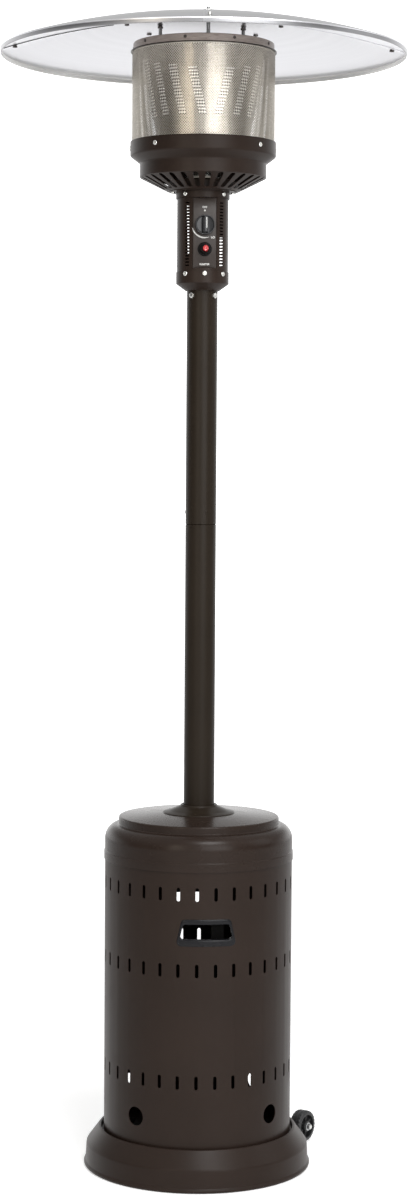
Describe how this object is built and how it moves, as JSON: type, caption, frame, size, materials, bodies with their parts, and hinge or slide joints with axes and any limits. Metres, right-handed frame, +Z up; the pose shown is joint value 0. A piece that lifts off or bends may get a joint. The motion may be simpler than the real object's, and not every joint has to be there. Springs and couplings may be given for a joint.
{
  "type": "patio heater",
  "caption": "Free-standing gas patio heater with a wheeled round base, a sliding slotted tank housing, a post, a control head, a perforated emitter and a domed reflector.",
  "frame": {"origin": "centre of the base's underside, on the floor", "axes": "+Z up along the post, -Y towards the side with the control panel and the front handle, +X to the right seen from the front"},
  "size_m": [0.814, 0.814, 2.327],
  "materials": {
    "bronze_paint": "fine-textured dark bronze powder coat",
    "black_steel": "matt black paint",
    "zinc_steel": "bright zinc plate",
    "stainless": "bright stainless sheet",
    "reflector_aluminium": "bright rolled aluminium sheet",
    "brass": "machined",
    "rubber": "matt",
    "black_plastic": "moulded, satin",
    "knob_plastic": "moulded, gloss",
    "red_plastic": "moulded, gloss",
    "ceramic": "glazed white ceramic"
  },
  "bodies": {
    "stand": {"base_pan": "bronze_paint", "tank_deck": "bronze_paint", "support_leg_1": "black_steel", "support_leg_2": "black_steel", "support_leg_3": "black_steel", "leg_bolts": "zinc_steel", "post_flange": "black_steel", "hose_grommet": "rubber", "lower_post": "bronze_paint", "upper_post": "bronze_paint", "post_base_bolts": "zinc_steel", "post_joint_screws": "bronze_paint", "wheel_bracket": "bronze_paint", "bracket_bolts": "zinc_steel", "axle": "zinc_steel", "axle_nuts": "zinc_steel", "head_cup": "bronze_paint", "head_bolts": "zinc_steel", "control_shell": "bronze_paint", "control_panel": "bronze_paint", "shell_collar": "bronze_paint", "shell_screws": "zinc_steel", "gas_valve": "brass", "igniter_bezel": "black_plastic", "piezo_igniter": "black_plastic", "tilt_switch": "black_plastic", "gas_pipe": "brass", "burner_bowl": "bronze_paint", "bowl_screws": "zinc_steel", "burner_floor": "stainless", "venturi_tube": "stainless", "burner_head": "stainless", "pilot_burner": "brass", "thermocouple": "brass", "spark_electrode": "ceramic", "emitter_screen": "stainless", "flame_cone": "stainless", "emitter_cap": "stainless", "cap_screws": "zinc_steel", "reflector_studs": "zinc_steel", "stud_nuts": "zinc_steel", "reflector_hub": "reflector_aluminium", "reflector_panel_1": "reflector_aluminium", "reflector_panel_2": "reflector_aluminium", "reflector_panel_3": "reflector_aluminium", "reflector_panel_4": "reflector_aluminium", "seam_screws": "zinc_steel", "wing_nuts": "zinc_steel"},
    "housing": {"tank_housing": "bronze_paint", "housing_lid": "bronze_paint", "post_collar": "bronze_paint", "front_handle_trim": "black_plastic", "rear_handle_trim": "black_plastic"},
    "valve_stem": {"valve_stem": "zinc_steel"},
    "knob": {"control_knob": "knob_plastic"},
    "igniter_button": {"igniter_button": "red_plastic"},
    "left_wheel": {"left_wheel": "black_plastic"},
    "right_wheel": {"right_wheel": "black_plastic"}
  },
  "joints": [
    {"name": "housing_lift", "type": "slide", "parent": "stand", "child": "housing", "axis": [0, 0, 1], "range_m": [0, 0.55]},
    {"name": "valve_turn", "type": "hinge", "parent": "stand", "child": "valve_stem", "pos_m": [0, -0.05, 1.905], "axis": [0, -1, 0], "range_deg": [0, 217]},
    {"name": "knob_push", "type": "slide", "parent": "valve_stem", "child": "knob", "axis": [0, 1, 0], "range_m": [0, 0.004], "stiffness_N_per_m": 800, "springref_m": -0.003},
    {"name": "igniter_push", "type": "slide", "parent": "stand", "child": "igniter_button", "axis": [0, 1, 0], "range_m": [0, 0.005], "stiffness_N_per_m": 1500, "springref_m": -0.003},
    {"name": "left_wheel_spin", "type": "hinge", "parent": "stand", "child": "left_wheel", "pos_m": [0.15941, 0.18997, 0.0355], "axis": [-0.766, 0.6428, 0], "continuous": true},
    {"name": "right_wheel_spin", "type": "hinge", "parent": "stand", "child": "right_wheel", "pos_m": [0.15941, 0.18997, 0.0355], "axis": [-0.766, 0.6428, 0], "continuous": true}
  ]
}
